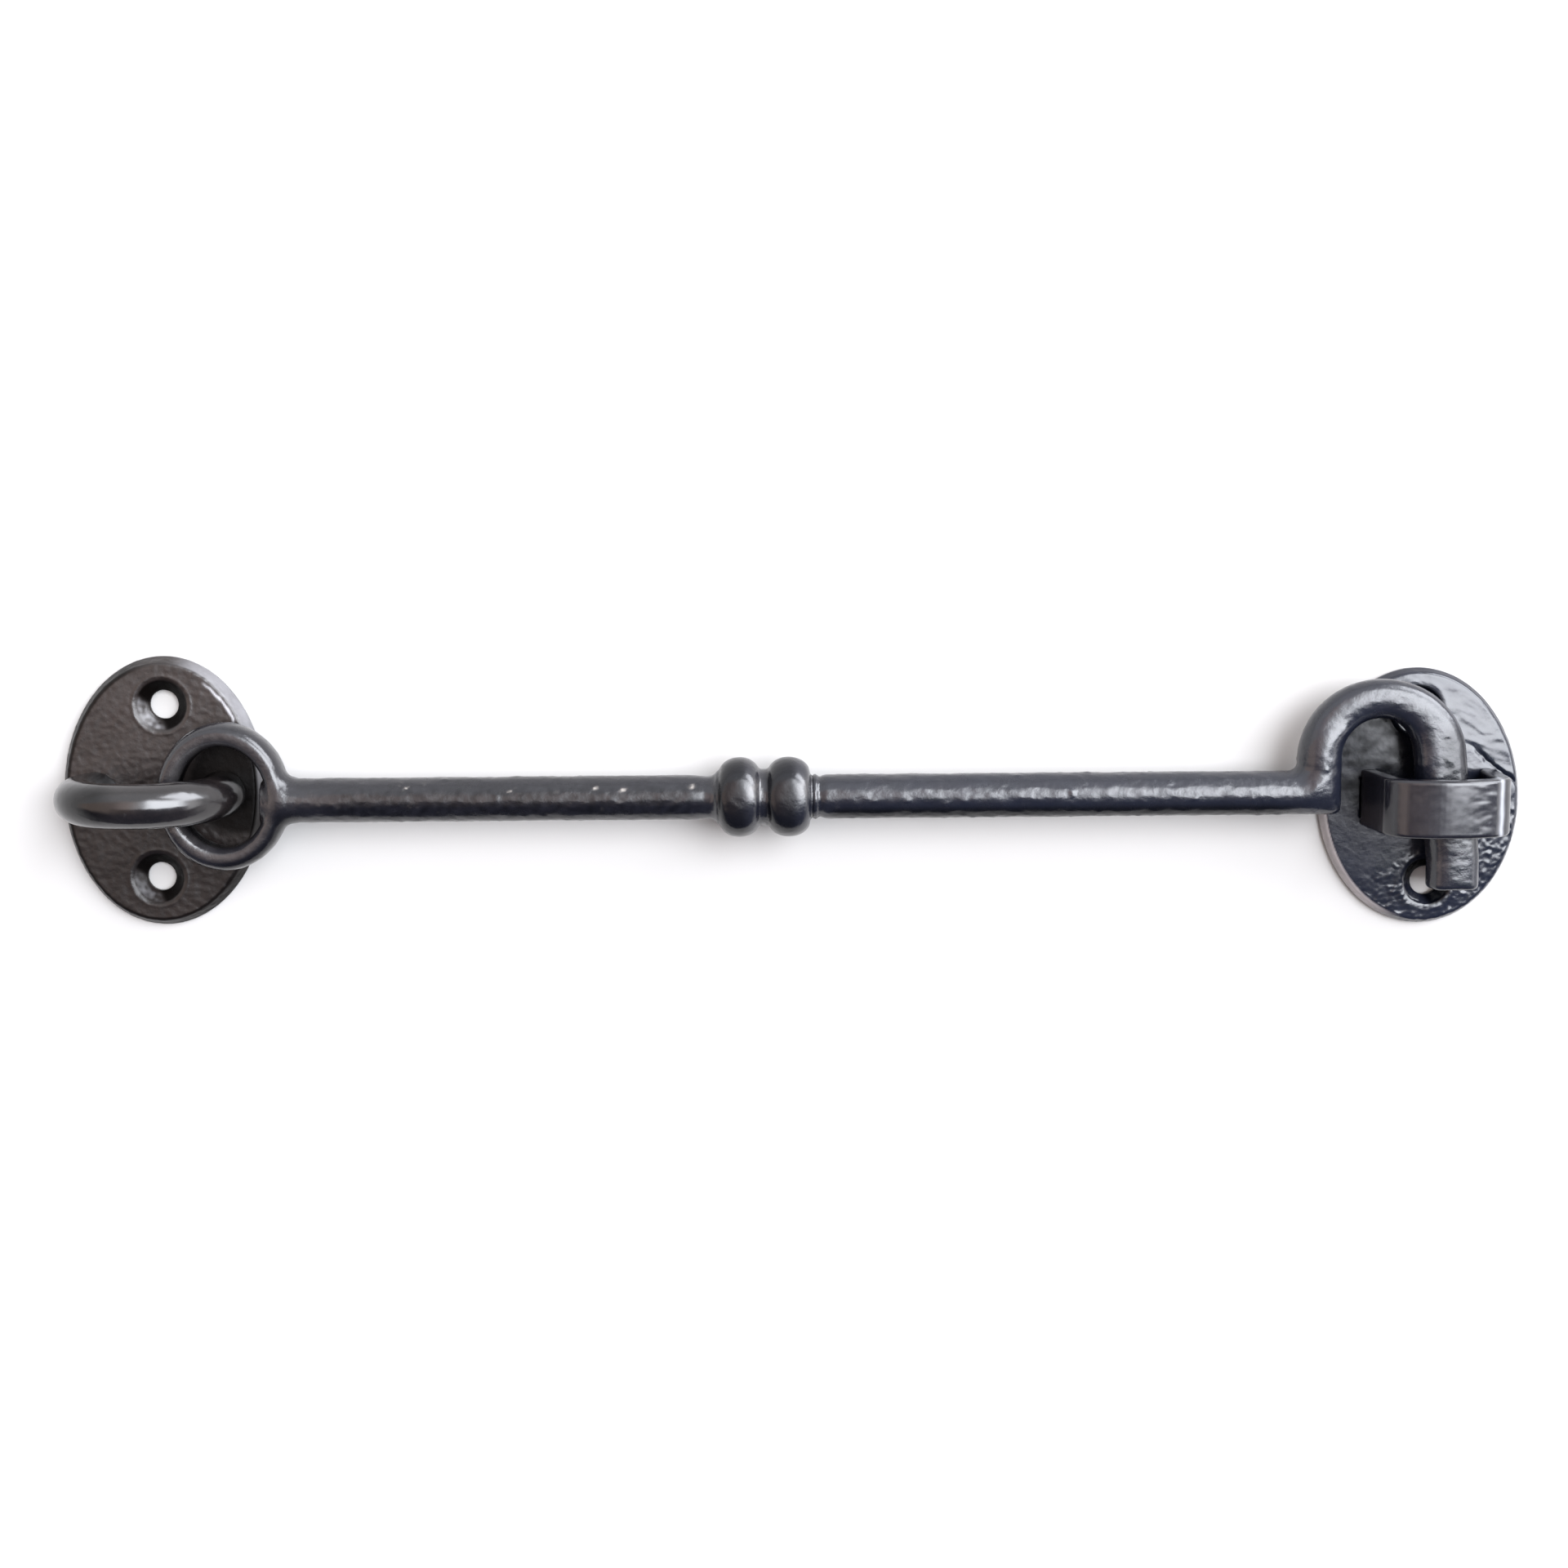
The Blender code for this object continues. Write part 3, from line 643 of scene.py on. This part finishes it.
PAINTS = {
    # its pale grey is for chipped paint, a painted reflection on the +x +y wall and painted highlights
    # in the countersinks
    "hinge_plate_paint": dict(
        dark=(0.006, 0.004, 0.0035), light=(0.0145, 0.010, 0.009), worn_and_lit=(0.40, 0.40, 0.42),
        rough=(0.30, 0.42), fine=0.42, fine_depth=0.02,
    ),
    # its pale brown is for chips on the bar, a painted reflection in the eye and painted highlights on
    # the beads
    "arm_paint": dict(
        dark=(0.0035, 0.0035, 0.0055), light=(0.007, 0.0068, 0.0095), worn_and_lit=(0.38, 0.35, 0.32),
        rough=(0.20, 0.30), fine=0.46, fine_depth=0.030, coat=0.3,
    ),
    "staple_paint": dict(
        dark=(0.004, 0.0035, 0.004), light=(0.009, 0.007, 0.007), worn_and_lit=(0.12, 0.12, 0.12),
        rough=(0.16, 0.24), fine=0.45, fine_depth=0.002, coat=0.4,
    ),
    # its pale pink is only a painted reflection on the -x -y wall
    "receiver_plate_paint": dict(
        dark=(0.0042, 0.0054, 0.0105), light=(0.0083, 0.0103, 0.0185), worn_and_lit=(0.80, 0.73, 0.72),
        rough=(0.17, 0.27), fine=0.45, fine_depth=0.010, coat=0.08,
    ),
    # its pale grey is a painted highlight on the +x shoulder, and faint patches
    "strap_paint": dict(
        dark=(0.005, 0.005, 0.008), light=(0.010, 0.010, 0.014), worn_and_lit=(0.42, 0.43, 0.46),
        rough=(0.14, 0.22), fine=0.50, fine_depth=0.002, coat=0.15,
    ),
}
paints = {name: black_paint(name, **values) for name, values in PAINTS.items()}


# ---------------------------------------------------------------- chipped and cool paint, painted highlights, reflections and shade
def plate_wear_and_painted_light(plate, toward, chip, wall_reflection):
    """Chipped paint along the edge on the side towards a direction, a painted reflection on that wall,
    and painted highlights in the countersinks.
    """

    def wear_and_painted_light(points):
        x, y, z = points.T
        edge = plate_wall(x, y, z, plate)
        facing = plate_facing(x, y, plate, toward)
        rough = noise(points, (3.2, 3.2, 1.2), 71) + 0.35 * noise(points, 0.7, 72)
        soft = noise(points, 2.4, 73) + 0.4 * noise(points, 1.0, 74)
        line = bell(edge + 0.8 + 0.3 * soft, 0.17) * rise(facing, 0.86, 0.96)
        line *= rise(rough, -0.4, 0.2) * chip
        # painted reflection: the wall on this side is made pale
        wall = rise(edge, -0.35, -0.12) * rise(2.95 - z, 0.1, 0.35) * rise(facing, 0.62, 0.9)
        wall *= rise(z, 0.05, 0.5) * (0.55 + 0.12 * rough)
        worn_and_lit = np.maximum(line, wall_reflection * wall)
        # painted highlight on each countersink's -x -y side
        patchy = np.clip(0.12 + 0.2 * noise(points, 0.9, 83), 0.0, 0.4)
        for radius, offset in around_screws(x, y, plate):
            glint = rise(offset, 2.2, 3.6) * rise(radius, 2.7, 3.1) * fall(radius, 3.9, 4.3)
            worn_and_lit = np.maximum(worn_and_lit, chip * glint * patchy)
        return worn_and_lit

    return wear_and_painted_light


def countersunk(plate, extra):
    """Painted shade in the countersinks, left off their -x -y side, over the plate's other painted
    shade.
    """

    def shade(points):
        x, y, _ = points.T
        dark = np.maximum(0.0, extra(points))
        for radius, offset in around_screws(x, y, plate):
            glint = rise(offset, 1.8, 3.4)
            dark = np.maximum(dark, (0.95 - 0.95 * glint) * fall(radius, 4.1, 4.5))
        return dark

    return shade


def hinge_shade(points):
    """Painted shade on the plate's -x -y rim and lower half, and on the ground inside the eye."""
    x, y, z = points.T
    _, along = plate_axes(x, y, HINGE_PLATE)
    facing = plate_facing(x, y, HINGE_PLATE, 38)
    rim = 0.8 * rise(plate_wall(x, y, z, HINGE_PLATE), -0.75, -0.3) * fall(facing, 0.2, 0.6)
    lower = 0.36 * rise(-along, 1.0, 15.0)
    return np.maximum(np.maximum(rim, lower), 0.92 * under_eye(points) * rise(z, 2.0, 2.8))


def under_eye(points):
    """The ground inside the eye, where it shades the plate."""
    x, y, _ = points.T
    return fall(np.hypot((x - 13.2) / 8.6, (y - 1.2) / 9.2), 0.8, 1.12)


def in_arch(points):
    """Painted shade on the ground framed by the hook's bend and the strap, in patches."""
    x, y, z = points.T
    ring = np.hypot((x - 206.5) / 8.0, (y - 5.0) / 9.5)
    patchy = 0.8 + 0.3 * noise(points, (2.6, 1.3, 2.0), 28) + 0.1 * noise(points, 0.8, 29)
    return np.clip(patchy, 0.0, 1.0) * fall(ring, 0.7, 1.3) * rise(z, 1.8, 2.4)


BEADS_AT = (99.2, 107.5)
# x, y and size of each chip on the bar
CHIPS = [(43.5, 1.5, 0.26), (61.0, 0.9, 0.24), (75.2, 1.3, 0.3), (79.8, 1.0, 0.42), (91.3, 1.4, 0.36)]


def arm_cool(points):
    """The paint turns from brownish black at the eye to blue-black at the hook."""
    return rise(points[:, 0], 60.0, 150.0) * (0.75 + 0.2 * noise(points, 4.0, 85))


def arm_shade(points):
    """Painted shade in the eye, on its -y side, on the second leg, the beads' -x flanks and the bar.
    """
    x, y, z = points.T
    radius = np.hypot((x - EYE_X) / EYE_SQUASH, y)
    hole = fall(radius, 8.9, 9.5) * fall(z, ARM_Z + 0.6, ARM_Z + 2.4)
    low = rise(radius, 9.8, 11.8) * fall(y, -4.5, -0.8) * rise(x, 9.0, 14.0) * fall(x, 24.0, 28.0)
    leg = 0.5 * rise(x, 215.3, 218.0) * rise(y, -3.0, 1.0) * fall(y, 8.0, 12.0)
    dark = np.maximum(np.maximum(hole, 0.66 * low), leg)
    for bead_x in BEADS_AT:
        flank = rise(x - bead_x, -4.3, -3.2) * fall(x - bead_x, 0.2, 2.2)
        dark = np.maximum(dark, 0.62 * flank)
    patchy = 0.34 + 0.34 * noise(points, 1.3, 81) + 0.2 * noise(points, 0.8, 82)
    bar = rise(x, 27.0, 34.0) * fall(x, 92.0, 94.5) * fall(y, 0.2, 2.4)
    dark = np.maximum(dark, np.clip(patchy, 0.0, 0.8) * bar)
    below = rise(x, 113.0, 116.0) * fall(x, 188.0, 196.0) * rise(-y, 1.9, 3.1)
    return np.maximum(dark, 0.8 * below)


def arm_wear_and_painted_light(points):
    """A painted reflection on the eye's inner face, painted highlights on the beads' +x shoulders, and
    tiny chips on the bar.
    """
    x, y, z = points.T
    radius = np.hypot((x - EYE_X) / EYE_SQUASH, y)
    # painted reflection on the eye's inner face, weaker towards +x
    ring = 0.06 * fall(radius, 9.6, 11.2) * rise(z, ARM_Z - 1.0, ARM_Z + 1.0)
    ring *= 1 - 0.6 * rise(x + 0.8 * np.abs(y), 14.0, 20.0)
    worn_and_lit = np.maximum(0.3 * light_wear(points), ring * (0.7 + 0.4 * noise(points, 2.2, 77)))
    # painted highlights on the beads' +x shoulders, above the middle
    patchy = np.clip(0.75 + 0.5 * noise(points, 0.9, 84), 0.2, 1.2)
    for bead_x in BEADS_AT:
        bead_highlight = bell(x - bead_x - 2.6, 0.95) * bell(y - 1.3, 1.5) * rise(z, ARM_Z, ARM_Z + 2.0)
        worn_and_lit = np.maximum(worn_and_lit, 0.3 * bead_highlight * patchy)
    jag_x, jag_y = 0.3 * noise(points, 0.8, 79), 0.2 * noise(points, 0.6, 80)
    for chip_x, chip_y, size in CHIPS:
        from_x, from_y = x - chip_x + jag_x, y - chip_y + jag_y
        radius = np.hypot(0.75 * (from_x + from_y), 1.5 * (from_y - 0.6 * from_x))
        worn_and_lit = np.maximum(worn_and_lit, 0.9 * bell(radius, size) * rise(z, ARM_Z, ARM_Z + 1.0))
    return worn_and_lit


def strap_highlight_and_wear(points):
    """A painted highlight along the strap's +x shoulder, over faint scattered patches."""
    x, _, z = points.T
    offset = x - KEEP_X - 7.95 - 0.12 * noise(points, 2.0, 78)
    return np.maximum(0.62 * bell(offset, 0.42) * rise(z, 12.5, 14.5), 0.3 * light_wear(points))


def staple_shade(points):
    """Painted shade on the staple's leg inside the eye, and on its -x end."""
    x, _, z = points.T
    return np.maximum(0.85 * rise(x, 3.0, 7.0) * fall(z, 9.0, 13.5), 0.72 * fall(x, -5.5, -0.5))


def light_wear(points):
    """Faint scattered patches."""
    return 0.12 * rise(noise(points, 2.2, 75) + 0.6 * noise(points, 0.8, 76), 0.75, 1.0)


def nowhere(points):
    return np.zeros(len(points))


# ---------------------------------------------------------------- pieces
BOX_MARGIN = 1.3


def piece(name, field, cell, ripple, body, cad, paint, wear_and_painted_light, shade=nowhere, cool=nowhere):
    """Skin the field around a CAD piece, mark its paint and its painted light and shade, and stand it
    in for that piece.
    """
    low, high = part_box(cad)
    low = [value / MM - BOX_MARGIN for value in low]
    high = [value / MM + BOX_MARGIN for value in high]
    obj, points = skin(name, field, low, high, cell, ripple)
    for title, amount in (("wear_and_painted_light", wear_and_painted_light), ("shade", shade), ("cool", cool)):
        values = np.clip(amount(points), 0.0, 1.0).astype(np.float32)
        obj.data.attributes.new(title, "FLOAT", "POINT").data.foreach_set("value", values)
    obj.data.materials.append(paints[paint])
    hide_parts(cad)
    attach(obj, body)


piece(
    "hinge_plate",
    plate_field(HINGE_PLATE, round_slot, [(LOOP_LEG_X, 0.0), (-LOOP_LEG_X, 0.0)]),
    cell=(0.22, 0.22, 0.2),
    ripple=hinge_plate_ripple,
    body="hinge_fixing",
    cad="hinge_backplate",
    paint="hinge_plate_paint",
    # chipped paint on the +x +y edge, with a painted reflection on that wall and painted highlights in
    # the countersinks
    wear_and_painted_light=plate_wear_and_painted_light(HINGE_PLATE, toward=38, chip=1.0, wall_reflection=0.55),
    shade=countersunk(HINGE_PLATE, hinge_shade),
)
piece(
    "hinge_loop",
    loop_field,
    cell=(0.22, 0.22, 0.22),
    ripple=loop_ripple,
    body="hinge_fixing",
    cad="hinge_staple",
    paint="staple_paint",
    wear_and_painted_light=light_wear,
    shade=staple_shade,
)
piece(
    "arm_with_hook",
    arm_field,
    cell=(0.38, 0.28, 0.27),
    ripple=arm_ripple,
    body="arm",
    cad="stay_arm",
    paint="arm_paint",
    wear_and_painted_light=arm_wear_and_painted_light,
    shade=arm_shade,
    cool=arm_cool,
)
piece(
    "receiver_plate",
    plate_field(
        RECEIVER_PLATE, square_slot, [(KEEP_X - KEEP_HALF, KEEP_Y), (KEEP_X + KEEP_HALF, KEEP_Y)]
    ),
    cell=(0.21, 0.21, 0.2),
    ripple=receiver_plate_ripple,
    body="receiver",
    cad="receiver_backplate",
    paint="receiver_plate_paint",
    # a painted reflection on the -x -y wall, with no chips
    wear_and_painted_light=plate_wear_and_painted_light(RECEIVER_PLATE, toward=205, chip=0.0, wall_reflection=0.62),
    shade=countersunk(RECEIVER_PLATE, in_arch),
)
piece(
    "receiver_keeper",
    strap_field,
    cell=(0.2, 0.2, 0.2),
    ripple=strap_ripple,
    body="receiver",
    cad="receiver_strap",
    paint="strap_paint",
    wear_and_painted_light=strap_highlight_and_wear,
)


# ---------------------------------------------------------------- floor
FLOOR_HALF, FLOOR_Z = 6.0, -0.0002  # metres


def floor_material():
    made, tree, bsdf = blank_material("floor_white")
    cloud = grain(tree, millimetres(tree), size=60.0, rough=0.55)
    tint = ranged(tree, cloud, span=(0.3, 0.7))
    colour = mixed(tree, tint, (0.405, 0.398, 0.388), (0.410, 0.404, 0.395))
    feed(tree, bsdf.inputs["Base Color"], colour)
    bsdf.inputs["Roughness"].default_value = 0.9
    bsdf.inputs["Specular IOR Level"].default_value = 0.1
    return made


floor_mesh = bpy.data.meshes.new("floor")
floor_signs = ((-1, -1), (1, -1), (1, 1), (-1, 1))
floor_mesh.from_pydata(
    [(i * FLOOR_HALF, j * FLOOR_HALF, FLOOR_Z) for i, j in floor_signs], [], [(0, 1, 2, 3)]
)
floor = bpy.data.objects.new("floor", floor_mesh)
bpy.context.scene.collection.objects.link(floor)
floor.data.materials.append(floor_material())


# ---------------------------------------------------------------- light
def world_light():
    """A room painted on the sky, in soft-edged patches laid over one another."""
    world = bpy.data.worlds.new("studio")
    bpy.context.scene.world = world
    world.use_nodes = True
    tree = world.node_tree
    tree.nodes.clear()
    out = tree.nodes.new("ShaderNodeOutputWorld")
    back = tree.nodes.new("ShaderNodeBackground")
    tree.links.new(back.outputs[0], out.inputs[0])
    place = tree.nodes.new("ShaderNodeTexCoord")
    split = tree.nodes.new("ShaderNodeSeparateXYZ")
    tree.links.new(place.outputs["Generated"], split.inputs[0])
    x, y, z = (split.outputs[axis] for axis in "XYZ")

    def maths(operation, *values):
        made = tree.nodes.new("ShaderNodeMath")
        made.operation = operation
        for socket, value in zip(made.inputs, values):
            feed(tree, socket, value)
        return made.outputs[0]

    def both(first, second):
        return maths("MULTIPLY", first, second)

    def angle(first, second):
        return maths("DEGREES", maths("ARCTAN2", first, second))

    def soft(value, start, end):
        return ranged(tree, value, span=(start, end), kind="SMOOTHSTEP")

    def fading(value, start, end):
        return maths("SUBTRACT", 1.0, soft(value, start, end))

    def between(value, up, down):
        return both(soft(value, *up), fading(value, *down))

    def blend(factor, first, second):
        return mixed(tree, factor, first, second)

    # degrees from overhead towards +x and +y, and the bearing from +x
    side, ahead, bearing = angle(x, z), angle(y, z), angle(y, x)

    # overhead: bluish, turning brownish and then bright towards -x, dark towards -y
    brown = blend(soft(side, -24.0, -48.0), (0.46, 0.36, 0.32), (1.75, 1.42, 1.28))
    colour = blend(soft(side, 20.0, -25.0), (0.17, 0.19, 0.26), brown)
    colour = blend(soft(ahead, -12.0, -40.0), colour, (0.10, 0.11, 0.16))
    # bright ceiling towards +y
    ceiling = blend(soft(side, -12.0, 8.0), (2.1, 1.76, 1.66), (3.5, 3.6, 3.8))
    colour = blend(both(soft(ahead, -9.8, -2.5), soft(side, -45.0, -10.0)), colour, ceiling)
    # white wall towards +y
    wall = both(between(side, (-90, -70), (70, 90)), between(ahead, (22, 42), (90, 110)))
    colour = blend(wall, colour, (1.5, 1.52, 1.58))
    # bright wall towards +x
    wall = both(between(side, (52, 64), (94, 106)), between(ahead, (-46, -34), (54, 66)))
    colour = blend(wall, colour, (3.6, 3.6, 3.7))
    # pale walls low down, except towards -y
    colour = blend(both(soft(z, 0.40, 0.10), soft(y, -0.9, -0.3)), colour, (1.15, 1.15, 1.17))
    # a low window towards +x +y
    window = both(fading(z, 0.50, 0.64), soft(z, 0.02, 0.08))
    window = both(window, between(bearing, (18.0, 28.0), (58.0, 70.0)))
    colour = blend(window, colour, (11.5, 11.8, 12.6))
    # the key light, high on the +x side
    key = both(
        between(side, (3.0, 17.0), (46.0, 60.0)), between(ahead, (-8.8, -5.8), (30.0, 44.0))
    )
    colour = blend(key, colour, (13.2, 13.6, 14.4))
    # a plain white backdrop wherever the camera looks past the floor
    seen = tree.nodes.new("ShaderNodeLightPath")
    colour = blend(seen.outputs["Is Camera Ray"], colour, (1.02, 1.02, 1.02))
    tree.links.new(colour, back.inputs["Color"])
    back.inputs["Strength"].default_value = 1.0


world_light()

# ---------------------------------------------------------------- camera, metres
# it looks down on the stay, tilted slightly towards -y
CAMERA_AT, CAMERA_TILT, CAMERA_ROLL = (0.10668, 0.04950, 0.3688), -7.6, -0.45

aim = bpy.data.objects.new("focus", None)
aim.location = (0.11, 0.0, 0.006)
bpy.context.scene.collection.objects.link(aim)
camera_data = bpy.data.cameras.new("camera")
camera_data.sensor_width = 36.0
camera_data.lens = 49.6875
camera_data.clip_start, camera_data.clip_end = 0.01, 20.0
camera = bpy.data.objects.new("camera", camera_data)
bpy.context.scene.collection.objects.link(camera)
camera.matrix_world = (
    Matrix.Translation(Vector(CAMERA_AT))
    @ Matrix.Rotation(math.radians(CAMERA_TILT), 4, "X")
    @ Matrix.Rotation(math.radians(CAMERA_ROLL), 4, "Z")
)
bpy.context.scene.camera = camera
bpy.context.scene.view_settings.view_transform = "Standard"
